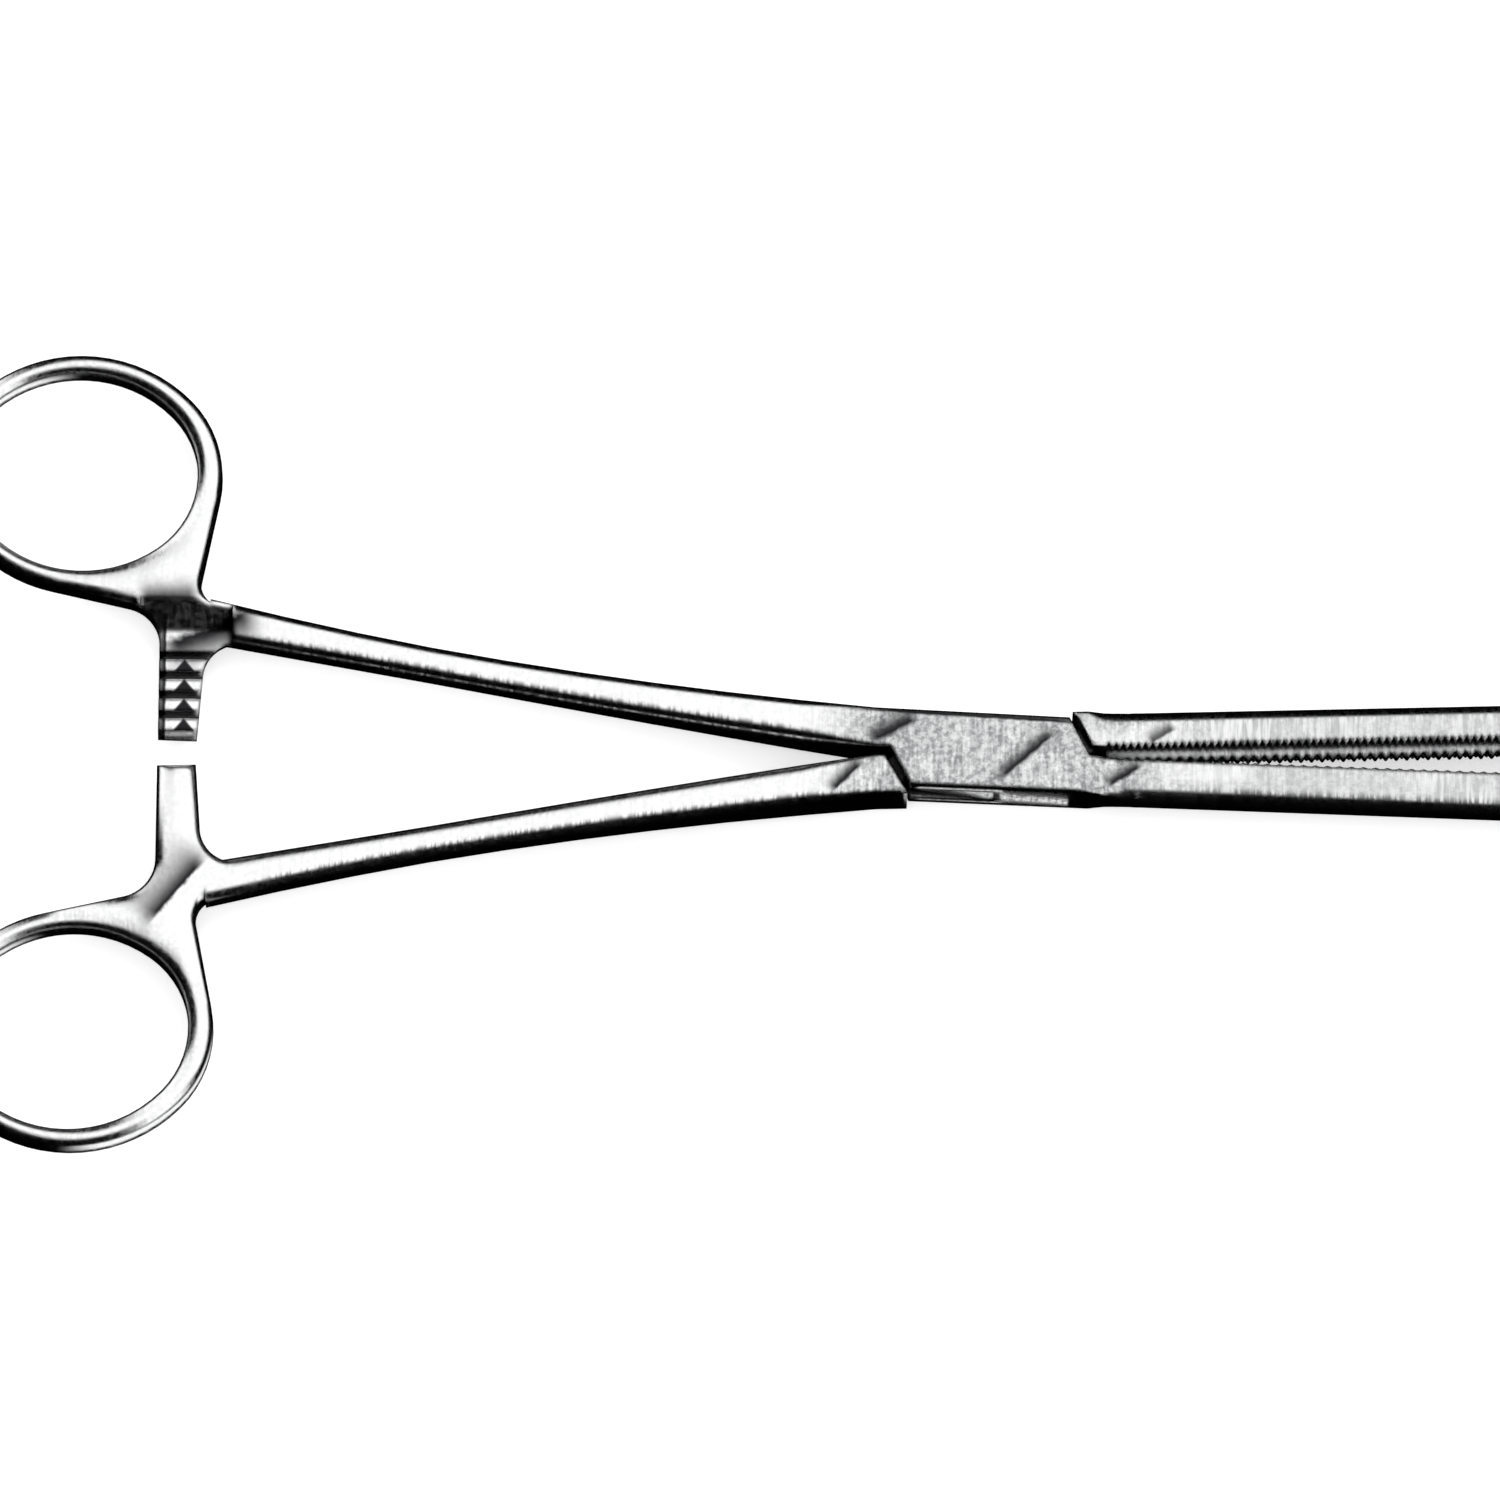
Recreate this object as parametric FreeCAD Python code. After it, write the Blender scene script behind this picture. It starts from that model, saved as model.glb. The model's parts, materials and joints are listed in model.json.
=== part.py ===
import FreeCAD, Part
import math
import os

from FreeCAD import Vector

# Angiotribe forceps: a stout ring-handled crushing clamp with a box lock, a ratchet
# and tongue-and-groove jaws. Two forged steel halves cross at a flush riveted pin.
#
# Millimetres. The clamp lies flat. +X runs along it towards the jaws, +Y goes across it
# towards the ring of the box half, and +Z is up through its thickness. The origin is on the
# pin's axis, on the underside of the box. Both halves are drawn with the clamp shut, so that
# each half's shank and ring is the other's turned over, and are then swung apart by half of
# the opening at which the clamp is shown.

# Pose
shown_half_opening = 1.7        # degrees that each half is swung from the shut position

# Box lock
box_thickness = 6.4
box_half_width = 3.85
box_edge_round = 0.4
cheek_thickness = 1.55
cheek_end_near = 7.9            # from the pin to a cheek's end, along the box's side
cheek_end_far = 10.0            # the same along the clamp's middle line
shoulder_gap = 0.50             # between a cheek's end and the other half's shoulder
tenon_radius = 3.8              # of the tenon's round hub
tenon_side_clearance = 0.05     # between the tenon and each cheek
tenon_end_clearance = 0.07      # between the tenon's hub and the ends of its slot
opening_travel = 30.4           # degrees from parallel jaws to the slot's stop
closing_travel = 0.5            # degrees past parallel that the slot leaves free
pin_radius = 1.5
pin_clearance = 0.05

# Along the handle: the ratchet arm's place, and what is placed from it
ratchet_distance = 81.25        # from the pin to the middle of the arm
ring_behind_arm = 10.85         # from there to the middle of the ring's hole
shank_before_arm = 2.75         # from there to where the shank runs into the ring

# Shanks: the middle of the section stands off the middle line by
# shank_start + shank_splay * s + shank_bow * s * s at the distance s from the pin
shank_start = 1.108
shank_splay = 0.0791
shank_bow = 0.000661
shank_waist = 55.0              # where the shank is slimmest
shank_waist_width = 3.36
shank_waist_thickness = 3.7
shank_corner = 1.3
shank_box_end = 11.5            # where the shank leaves the box
shank_box_width = 4.1
shank_swell = 0.5               # fuller than that, just behind the box
shank_swell_run = 7.0
shank_ring_end = ratchet_distance - shank_before_arm
shank_ring_width = 4.3
shank_spans = 9                 # straight spans that the shank is ground in

# Finger rings, with the flat web that joins them to the shanks
ring_distance = ratchet_distance + ring_behind_arm
ring_offset = 26.2              # from the middle line to the middle of the hole
ring_hole_length = 23.4
ring_hole_width = 20.5
ring_turn = 3.3                 # degrees that the hole's length turns in towards the pin
ring_fullness = 0.6             # how much tighter than its sides the oval turns at its ends
ring_wire = 2.05                # wire across, on the far side
ring_wire_near = 2.5            # wire across, on the side of the pin
ring_round = 0.95               # of the rims of the ring and the edges of the web
round_strips = 3                # narrow strips that such a rounding is ground in
web_thickness = 3.7             # of ring, web and the shank's end
web_reach = 5.75                # from the ratchet arm to where the web has become the shank
web_inset = 0.5                 # of the web's edges from the shank's there
notch_inset = 0.5               # from the hole's end to the notch's corner, along the clamp
notch_round = 2.4               # hollow corner between the ring's side and the shank
crotch_round = 3.6              # hollow corner between the shank and the ratchet arm
crotch_inset = 0.75             # from the arm's side to that corner
heel_round = 4.0                # hollow corner between the arm and the ring
heel_gap = 1.9                  # from the ring's side to that corner

# Ratchet
ratchet_width = 3.9
ratchet_lean = 1.7              # degrees, so that the arms stand square when shown
ratchet_overlap = 0.9           # past the middle line with the clamp shut
ratchet_plane_gap = 0.04        # from the middle of the thickness to the tooth crests
tooth_pitch = 2.05
tooth_depth = 0.75
tooth_lean = 0.1                # how far the foot of a tooth's steep face stands back
tooth_land = 1.1                # flat crest of a tooth, before its long slope
tooth_count = 4
tooth_first_length = 2.1        # from the arm's end to its first crest
ratchet_land_length = 1.9       # flat behind the last tooth's hollow, at the crests' height
ratchet_step_run = 3.3          # slope from that flat up to the full thickness
ratchet_recess_reach = 5.4      # from the middle of the arm to the recess's side by the shank

# Jaws
jaw_tip = 58.8
jaw_width = 4.0
jaw_neck_length = 5.0           # over which the box's thickness runs down to the jaw's
jaw_neck_spans = 3
jaw_root_back = 3.95            # from the middle line to the back, beside the box
jaw_back = 4.38                 # from the middle line to the back of either jaw
jaw_back_flat = 0.1             # narrow flat left along the round back
jaw_tip_round = 3.8
jaw_tip_side_round = 1.5
grooved_face = 0.05             # level of the grooved jaw's face, from the middle line
tongued_face = 0.40             # level of the tongued jaw's shoulders
tongue_width = 1.5
tongue_height = 1.25
groove_side_clearance = 0.1
groove_depth = 1.5
bite_start = 11.6               # the toothed length, from the pin
bite_end = 57.4
serration_pitch = 0.73
serration_depth = 0.42
serration_land = 0.10
tongue_hatch_pitch = 1.06
tongue_hatch_depth = 0.55
face_hatch_pitch = 1.2
face_hatch_depth = 0.16
hatch_land = 0.22
hatch_lean = 40.0               # degrees that a hatch groove leans from square across

middle_height = box_thickness / 2
full_turn = 360
half_turn = 180


def turned_over(shape):
    """The same shape turned over about the clamp's long middle line."""
    copy = shape.copy()
    copy.rotate(Vector(0, 0, middle_height), Vector(1, 0, 0), half_turn)
    return copy


def swung(shape, degrees):
    """The shape swung about the pin."""
    copy = shape.copy()
    copy.rotate(Vector(0, 0, 0), Vector(0, 0, 1), degrees)
    return copy


def flat_prism(points, bottom, top):
    """A prism over a polygon of (x, y) points, between two heights."""
    corners = [Vector(x, y, bottom) for x, y in points]
    face = Part.Face(Part.makePolygon(corners + corners[:1]))
    return face.extrude(Vector(0, 0, top - bottom))


def rounded_section(x, low, high, thickness, low_corner, high_corner):
    """A rounded rectangle across the clamp at x, from y=low to y=high.

    The pair of corners at low and the pair at high have radii of their own.
    """
    half = thickness / 2
    diagonal = math.sqrt(0.5)

    def at(y, z):
        return Vector(x, y, middle_height + z)

    def corner(y, z, radius, along, up, start, end):
        centre = at(y - along * radius, z - up * radius)
        middle = centre + Vector(0, along * diagonal, up * diagonal) * radius
        return Part.Arc(centre + start * radius, middle, centre + end * radius).toShape()

    across = Vector(0, 1, 0)
    upwards = Vector(0, 0, 1)
    return Part.Wire([
        Part.LineSegment(at(low + low_corner, -half), at(high - high_corner, -half)).toShape(),
        corner(high, -half, high_corner, 1, -1, -upwards, across),
        Part.LineSegment(at(high, high_corner - half), at(high, half - high_corner)).toShape(),
        corner(high, half, high_corner, 1, 1, across, upwards),
        Part.LineSegment(at(high - high_corner, half), at(low + low_corner, half)).toShape(),
        corner(low, half, low_corner, -1, 1, upwards, -across),
        Part.LineSegment(at(low, half - low_corner), at(low, low_corner - half)).toShape(),
        corner(low, -half, low_corner, -1, -1, -across, -upwards),
    ])


def shank_middle(distance):
    """How far the shank's middle stands off the clamp's middle line."""
    return shank_start + shank_splay * distance + shank_bow * distance ** 2


def shank_swelling(distance):
    """One at the box, falling away to nothing over the swell's run."""
    return max(0.0, 1 - (distance - shank_box_end) / shank_swell_run)


def shank_width(distance):
    """Width of the shank, which flares both ways from its waist."""
    if distance > shank_waist:
        share = (distance - shank_waist) / (shank_ring_end - shank_waist)
        return shank_waist_width + (shank_ring_width - shank_waist_width) * share ** 1.7
    share = (shank_waist - distance) / (shank_waist - shank_box_end)
    full_width = shank_box_width + shank_swell
    trimmed = shank_swell * shank_swelling(distance) ** 2
    return shank_waist_width + (full_width - shank_waist_width) * share ** 1.6 - trimmed


def shank_thickness(distance):
    """Thickness of the shank, which grows from its waist to that of the box."""
    share = max(0.0, (shank_waist - distance) / (shank_waist - shank_box_end))
    return shank_waist_thickness + (box_thickness - shank_waist_thickness) * share ** 1.9


def shank_section(distance):
    """Section of the +Y shank at a distance from the pin."""
    half = shank_width(distance) / 2
    middle = shank_middle(distance)
    radius = shank_corner + (box_edge_round - shank_corner) * shank_swelling(distance) ** 1.5
    return rounded_section(-distance, middle - half, middle + half,
                           shank_thickness(distance), radius, radius)


def shank():
    """The tapering shank on the +Y side, from the box to the finger ring."""
    step = (shank_ring_end - shank_box_end) / shank_spans
    stations = [shank_box_end + step * index for index in range(shank_spans + 1)]
    return Part.makeLoft([shank_section(distance) for distance in stations], True, True)


def arc_about(centre, radius, start, end):
    """An arc about a centre, from one direction to another, in degrees."""
    angles = [math.radians(start + (end - start) * share) for share in (0, 0.5, 1)]
    points = [centre + Vector(math.cos(angle), math.sin(angle), 0) * radius for angle in angles]
    return Part.Arc(*points).toShape()


def ring_place(point):
    """Where a point of the upright oval lies once the +Y ring is turned and in place."""
    turn = math.radians(-ring_turn)
    x = point.x * math.cos(turn) - point.y * math.sin(turn)
    y = point.x * math.sin(turn) + point.y * math.cos(turn)
    return Vector(x - ring_distance, y + ring_offset, point.z)


def oval_arcs(length, width):
    """Centre distance and radius of an oval's end arcs, and of its side arcs."""
    excess = (length - width) / 2
    end_centre = excess * (1 + ring_fullness)
    side_centre = excess * (1 + 2 * ring_fullness) / (2 * ring_fullness)
    return end_centre, length / 2 - end_centre, side_centre, width / 2 + side_centre


def ring_outline(length, width, shift, height):
    """An oval about the finger hole of the +Y ring, drawn with four tangent arcs."""
    end_centre, end_radius, side_centre, side_radius = oval_arcs(length, width)
    meet = math.degrees(math.atan2((1 + 2 * ring_fullness) / (2 * ring_fullness),
                                   1 + ring_fullness))
    turns = [
        (Vector(shift + end_centre, 0, height), end_radius, -meet, meet),
        (Vector(shift, -side_centre, height), side_radius, meet, half_turn - meet),
        (Vector(shift - end_centre, 0, height), end_radius, half_turn - meet, half_turn + meet),
        (Vector(shift, side_centre, height), side_radius, half_turn + meet, full_turn - meet),
    ]
    return Part.Wire([
        arc_about(ring_place(centre), radius, start - ring_turn, end - ring_turn)
        for centre, radius, start, end in turns
    ])


def rounded_plate(outline, rounding):
    """A plate in the middle of the thickness, with rounded edges.

    The outline is a function that draws the wire at a given inset and height. A negative
    rounding flares the plate towards its faces, as a cutter for a hole does.
    """
    low = middle_height - web_thickness / 2
    levels = []
    for strip in range(round_strips + 1):
        angle = math.pi / 2 * strip / round_strips
        levels.append((rounding * (1 - math.sin(angle)), abs(rounding) * (1 - math.cos(angle))))
    wires = [outline(inset, low + rise) for inset, rise in levels]
    wires += [outline(inset, low + web_thickness - rise) for inset, rise in reversed(levels)]
    return Part.makeLoft(wires, True, True)


def finger_ring():
    """The +Y finger ring: a flattened wire with rounded rims, stouter towards the pin."""
    length = ring_hole_length + ring_wire + ring_wire_near
    width = ring_hole_width + 2 * ring_wire
    shift = (ring_wire_near - ring_wire) / 2

    def outer(inset, height):
        return ring_outline(length - 2 * inset, width - 2 * inset, shift, height)

    def hole(inset, height):
        return ring_outline(ring_hole_length - 2 * inset, ring_hole_width - 2 * inset, 0, height)

    return rounded_plate(outer, ring_round).cut(rounded_plate(hole, -ring_round))


def tangent_foot(point, centre, radius, side):
    """Where the line from a point touches a circle, on the left (1) or right (-1) of it."""
    away = point - centre
    aim = math.atan2(away.y, away.x) + side * math.acos(radius / away.Length)
    return centre + Vector(math.cos(aim), math.sin(aim), 0) * radius


def drawn_in(corners, inset):
    """The (point, radius) corners of a clockwise outline with hollow bends, drawn in."""
    moved = []
    for index, (point, radius) in enumerate(corners):
        before = (point - corners[index - 1][0]).normalize()
        after = (corners[(index + 1) % len(corners)][0] - point).normalize()
        inwards = [Vector(way.y, -way.x, 0) for way in (before, after)]
        shift = (inwards[0] + inwards[1]) * (inset / (1 + inwards[0].dot(inwards[1])))
        moved.append((point + shift, radius + inset if radius else 0))
    return moved


def rounded_outline(corners, height):
    """A closed wire through (point, radius) corners, with an arc for each radius."""
    points = [point for point, radius in corners]
    starts = []
    ends = []
    edges = []
    for index, (point, radius) in enumerate(corners):
        before = (points[index - 1] - point).normalize()
        after = (points[(index + 1) % len(points)] - point).normalize()
        half_angle = before.getAngle(after) / 2
        reach = radius / math.tan(half_angle)
        starts.append(point + before * reach)
        ends.append(point + after * reach)
        if radius:
            inward = (before + after).normalize()
            middle = point + inward * (radius / math.sin(half_angle) - radius)
            edges.append(Part.Arc(starts[-1], middle, ends[-1]).toShape())
    for index in range(len(points)):
        edges.append(line(ends[index - 1], starts[index]))
    wire = Part.Wire(Part.__sortEdges__(edges))
    wire.translate(Vector(0, 0, height))
    return wire


def line(start, end):
    """A straight edge."""
    return Part.LineSegment(start, end).toShape()


def arm_point(across, along):
    """A point on the +Y ratchet arm: across from its middle, and along from the middle line."""
    lean = math.radians(ratchet_lean)
    return Vector(across - ratchet_distance - along * math.sin(lean), along * math.cos(lean), 0)


def web_and_arm():
    """The web that joins the +Y ring, shank and ratchet arm, with the plain arm."""
    half = ratchet_width / 2
    root = ratchet_distance - web_reach
    slope = shank_splay + 2 * shank_bow * root
    outer_edge = shank_middle(root) + shank_width(root) / 2 - web_inset
    inner_edge = shank_middle(root) - shank_width(root) / 2 + web_inset
    notch_x = ring_hole_length / 2 + notch_inset - ring_distance
    ring_foot = ring_offset - ring_hole_width / 2 - ring_wire

    shift = (ring_wire_near - ring_wire) / 2
    end_centre, end_radius, side_centre, side_radius = oval_arcs(
        ring_hole_length + ring_wire + ring_wire_near, ring_hole_width + 2 * ring_wire)
    near_end = ring_place(Vector(shift + end_centre, 0, 0))
    near_side = ring_place(Vector(shift, side_centre, 0))

    notch = Vector(notch_x, outer_edge - slope * (root + notch_x), 0)
    crotch = arm_point(half + crotch_inset, inner_edge - slope * crotch_inset)
    heel = arm_point(-half, ring_foot - heel_gap)
    corners = [
        (tangent_foot(notch, near_end, end_radius, 1), 0),
        (notch, notch_round),
        (Vector(-root, outer_edge, 0), 0),
        (Vector(-root, inner_edge, 0), 0),
        (crotch, crotch_round),
        (arm_point(half, -ratchet_overlap), 0),
        (arm_point(-half, -ratchet_overlap), 0),
        (heel, heel_round),
        (tangent_foot(heel, near_side, side_radius, -1), 0),
    ]

    def outline(inset, height):
        return rounded_outline(drawn_in(corners, inset), height)

    web = rounded_plate(outline, ring_round)
    hole = ring_outline(ring_hole_length + ring_wire, ring_hole_width + ring_wire, 0, 0)
    return web.cut(Part.Face(hole).extrude(Vector(0, 0, box_thickness)))


def ratchet_cutter():
    """What is cut from the front of the +Y arm: its recess and its sawtooth ratchet."""
    crest = middle_height - ratchet_plane_gap
    floor = crest - tooth_depth
    above = box_thickness
    web_top = middle_height + web_thickness / 2
    first_crest = tooth_first_length - ratchet_overlap
    profile = [(-ratchet_overlap - tooth_pitch, above), (-ratchet_overlap - tooth_pitch, floor)]
    for index in range(tooth_count + 1):
        end = first_crest + index * tooth_pitch
        profile.append((end - tooth_pitch + tooth_lean, floor))
        profile.append((end - tooth_land, crest))
        if index < tooth_count:
            profile.append((end, crest))
    shelf = first_crest + tooth_count * tooth_pitch - tooth_land
    profile.append((shelf + ratchet_land_length, crest))
    rise = (web_top - crest) / ratchet_step_run
    profile.append((shelf + ratchet_land_length + (above - crest) / rise, above))
    left = -ratchet_width
    corners = [Vector(left, along, height) for along, height in profile]
    face = Part.Face(Part.makePolygon(corners + corners[:1]))
    cutter = face.extrude(Vector(ratchet_recess_reach - left, 0, 0))
    cutter.rotate(Vector(0, 0, 0), Vector(0, 0, 1), ratchet_lean)
    cutter.translate(Vector(-ratchet_distance, 0, 0))
    return cutter


def handle():
    """The +Y shank with its finger ring, web and toothed ratchet arm."""
    joined = shank().fuse([finger_ring(), web_and_arm()])
    return joined.cut(ratchet_cutter()).removeSplitter()


def neck_section(x, face_level):
    """Section of the +Y jaw's neck at x, between the box's section and the jaw's."""
    swell = max(0.0, 1 - (x - cheek_end_far) / jaw_neck_length) ** 2
    width = jaw_width + (box_thickness - jaw_width) * swell
    back = jaw_back + (jaw_root_back - jaw_back) * swell
    round_back = (width - jaw_back_flat) / 2
    back_corner = round_back + (box_edge_round - round_back) * swell
    return rounded_section(x, face_level, back, width, box_edge_round, back_corner)


def jaw_neck(face_level):
    """The neck of the +Y jaw, which runs down from the box's thickness to the jaw's."""
    step = jaw_neck_length / jaw_neck_spans
    stations = [cheek_end_far + step * index for index in range(jaw_neck_spans + 1)]
    return Part.makeLoft([neck_section(x, face_level) for x in stations], True, True)


def jaw_body(face_level):
    """The straight +Y jaw: flat sides, a flat face, a round back and a rounded tip."""
    half = jaw_width / 2
    shoulder = jaw_back - half
    start = cheek_end_far + jaw_neck_length / 2

    def at(y, z):
        return Vector(start, y, middle_height + z)

    section = Part.Wire([
        line(at(face_level, -half), at(shoulder, -half)),
        Part.Arc(at(shoulder, -half), at(jaw_back, 0), at(shoulder, half)).toShape(),
        line(at(shoulder, half), at(face_level, half)),
        line(at(face_level, half), at(face_level, -half)),
    ])
    jaw = Part.Face(section).extrude(Vector(jaw_tip - start, 0, 0))
    corner_x = jaw_tip - jaw_tip_round
    corner_y = jaw_back - jaw_tip_round
    side = Part.Wire([
        line(Vector(start, -jaw_back, 0), Vector(jaw_tip, -jaw_back, 0)),
        line(Vector(jaw_tip, -jaw_back, 0), Vector(jaw_tip, corner_y, 0)),
        arc_about(Vector(corner_x, corner_y, 0), jaw_tip_round, 0, half_turn / 2),
        line(Vector(corner_x, jaw_back, 0), Vector(start, jaw_back, 0)),
        line(Vector(start, jaw_back, 0), Vector(start, -jaw_back, 0)),
    ])
    jaw = jaw.common(Part.Face(side).extrude(Vector(0, 0, box_thickness)))
    shoulder_x_tip = jaw_tip - jaw_tip_side_round
    flat = half - jaw_tip_side_round
    plan = Part.Wire([
        line(Vector(start, half, 0), Vector(start, -half, 0)),
        line(Vector(start, -half, 0), Vector(shoulder_x_tip, -half, 0)),
        arc_about(Vector(shoulder_x_tip, -flat, 0), jaw_tip_side_round, -half_turn / 2, 0),
        line(Vector(jaw_tip, -flat, 0), Vector(jaw_tip, flat, 0)),
        arc_about(Vector(shoulder_x_tip, flat, 0), jaw_tip_side_round, 0, half_turn / 2),
        line(Vector(shoulder_x_tip, half, 0), Vector(start, half, 0)),
    ])
    nose = Part.Face(plan).extrude(Vector(0, 0, 2 * jaw_back))
    nose.rotate(Vector(0, 0, 0), Vector(1, 0, 0), -half_turn / 2)
    nose.translate(Vector(0, -jaw_back, middle_height))
    return jaw.common(nose)


def groove_comb(level, pitch, depth, land, lean):
    """Side-by-side V grooves across the +Y jaw's face, cut upwards from a level.

    A lean slants them towards the tip as they cross the jaw.
    """
    below = depth * land / (pitch - land)
    count = int((bite_end - bite_start) / pitch)
    reach = box_thickness / 2
    shift = reach * math.tan(math.radians(lean))
    outline = [(bite_start, level - below)]
    for index in range(count):
        left = bite_start + index * pitch
        outline.append((left + pitch / 2, level + depth))
        outline.append((left + pitch, level - below))
    outline.append((bite_start + count * pitch, level - jaw_back))
    outline.append((bite_start, level - jaw_back))
    corners = [Vector(x - shift, y, middle_height - reach) for x, y in outline]
    face = Part.Face(Part.makePolygon(corners + corners[:1]))
    return face.extrude(Vector(2 * shift, 0, 2 * reach))


def jaw_strip(width, low, high, start, end):
    """A straight bar of the given width along the middle of the jaw."""
    bar = Part.makeBox(end - start, high - low, width)
    bar.translate(Vector(start, low, middle_height - width / 2))
    return bar


def tongued_jaw():
    """The +Y jaw: shoulders serrated square across, and a tongue hatched with diamonds."""
    serrations = groove_comb(tongued_face, serration_pitch, serration_depth, serration_land, 0)
    jaw = jaw_body(tongued_face).fuse(jaw_neck(tongued_face)).cut(serrations)
    crest = tongued_face - tongue_height
    tongue = jaw_strip(tongue_width, crest, tongued_face + tongue_height, bite_start, bite_end)
    for lean in (hatch_lean, -hatch_lean):
        tongue = tongue.cut(groove_comb(crest, tongue_hatch_pitch, tongue_hatch_depth,
                                        hatch_land, lean))
    return jaw.fuse(tongue)


def grooved_jaw():
    """The -Y jaw: a plain groove for the tongue between two hatched lands."""
    level = -grooved_face
    jaw = jaw_body(level).fuse(jaw_neck(level))
    bite = jaw_strip(box_thickness, level - jaw_back, jaw_back, bite_start, bite_end)
    for lean in (hatch_lean, -hatch_lean):
        comb = groove_comb(level, face_hatch_pitch, face_hatch_depth, hatch_land, lean)
        jaw = jaw.cut(comb.common(bite))
    width = tongue_width + 2 * groove_side_clearance
    run_out = bite_end + groove_side_clearance
    groove = jaw_strip(width, level - jaw_back, level + groove_depth,
                       bite_start - groove_side_clearance, run_out)
    return turned_over(jaw.cut(groove))


def shoulder_x(y, gap):
    """Where the slanted end of a cheek, moved out by a gap, crosses the height y."""
    slope = (cheek_end_far - cheek_end_near) / box_half_width
    return cheek_end_far + gap * math.hypot(1, slope) - slope * y


def on_line(x, start, end):
    """The height at x of the straight line between two (x, y) points."""
    return start[1] + (end[1] - start[1]) * (x - start[0]) / (end[0] - start[0])


def box_block():
    """The solid box between the shank and the jaw of the box half, before its slot."""
    root = shank_middle(shank_box_end)
    half = shank_width(shank_box_end) / 2
    top = ((-shank_box_end, root + half), (cheek_end_near, box_half_width))
    foot = ((-cheek_end_near, -box_half_width), (cheek_end_far, -jaw_root_back))
    sides = [
        (-shank_box_end, root - half, top[0][1]),
        (-cheek_end_far, root - half, on_line(-cheek_end_far, *top)),
        (-cheek_end_near, foot[0][1], on_line(-cheek_end_near, *top)),
        (cheek_end_near, on_line(cheek_end_near, *foot), top[1][1]),
        (cheek_end_far, foot[1][1], grooved_face),
    ]
    return Part.makeLoft([
        rounded_section(x, low, high, box_thickness, box_edge_round, box_edge_round)
        for x, low, high in sides
    ], True, True)


def flank_normal():
    """Direction, in degrees, that the tenon's long upper flank faces."""
    neck_reach = shoulder_x(0, shoulder_gap)
    return half_turn - math.degrees(math.acos(tenon_radius / neck_reach))


def slot():
    """The slot right through the box, which the tenon fills and turns in."""
    half = tenon_radius + tenon_end_clearance
    height = box_thickness - 2 * cheek_thickness
    length = 4 * cheek_end_far
    strip = Part.makeBox(length, 2 * half, height)
    strip.translate(Vector(-length / 2, -half, cheek_thickness))
    return swung(strip, flank_normal() - half_turn / 2 - closing_travel)


def tenon():
    """The thin middle of the tenon half: a round hub with a neck to each side."""
    upper = math.radians(flank_normal())
    edge = math.radians(flank_normal() - opening_travel)
    low = cheek_thickness + tenon_side_clearance
    between = (upper + edge) / 2
    neck_reach = tenon_radius / math.cos((math.pi - opening_travel * math.pi / half_turn) / 2)

    def polar(radius, angle):
        return Vector(radius * math.cos(angle), radius * math.sin(angle), low)

    neck = between + math.pi / 2
    left = polar(neck_reach, neck)
    right = polar(neck_reach, neck - math.pi)
    outline = Part.Wire([
        line(left, polar(tenon_radius, upper)),
        Part.Arc(polar(tenon_radius, upper), polar(tenon_radius, between),
                 polar(tenon_radius, edge)).toShape(),
        line(polar(tenon_radius, edge), right),
        line(right, polar(tenon_radius, upper - math.pi)),
        Part.Arc(polar(tenon_radius, upper - math.pi), polar(tenon_radius, between - math.pi),
                 polar(tenon_radius, edge - math.pi)).toShape(),
        line(polar(tenon_radius, edge - math.pi), left),
    ])
    return Part.Face(outline).extrude(Vector(0, 0, box_thickness - 2 * low))


def pin(radius):
    """The pivot pin, or a bore for it, through the whole thickness."""
    return Part.makeCylinder(radius, box_thickness)


def box_half():
    """Upper shank and ring, the slotted box and the grooved jaw."""
    half = handle().fuse([box_block(), grooved_jaw()])
    half = half.cut(slot()).cut(pin(pin_radius))
    return swung(half.removeSplitter(), -shown_half_opening)


def tenon_half():
    """Lower shank and ring, the tenon in the box and the tongued jaw."""
    root_run = shank_box_end - cheek_end_near / 2
    shank_root = Part.Face(shank_section(shank_box_end)).extrude(Vector(root_run, 0, 0))
    lower = turned_over(handle().fuse(shank_root))
    jaw_run = cheek_end_far - cheek_end_near / 2
    jaw_root = Part.Face(neck_section(cheek_end_far, tongued_face))
    jaw_root = jaw_root.extrude(Vector(-jaw_run, 0, 0))
    upper = tongued_jaw().fuse(jaw_root)
    beyond = 2 * box_half_width
    between_shoulders = flat_prism([
        (shoulder_x(beyond, shoulder_gap), beyond),
        (shoulder_x(-beyond, shoulder_gap), -beyond),
        (-shoulder_x(beyond, shoulder_gap), -beyond),
        (-shoulder_x(-beyond, shoulder_gap), beyond),
    ], 0, box_thickness)
    ends = lower.cut(between_shoulders)
    half = tenon().fuse([ends, upper.cut(between_shoulders)])
    half = half.cut(pin(pin_radius + pin_clearance))
    return swung(half.removeSplitter(), shown_half_opening)


os.makedirs("parts", exist_ok=True)
pieces = {
    "box_half": box_half(),
    "tenon_half": tenon_half(),
    "lock_pin": pin(pin_radius),
}
for name, piece in pieces.items():
    print(name, "valid", piece.isValid(), "solids", len(piece.Solids),
          "volume", round(piece.Volume, 1))
    piece.exportStep(f"parts/{name}.step")
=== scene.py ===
import json
import logging
import math
from dataclasses import dataclass
from enum import Enum

import bmesh
import bpy
from mathutils import Matrix, Vector

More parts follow.
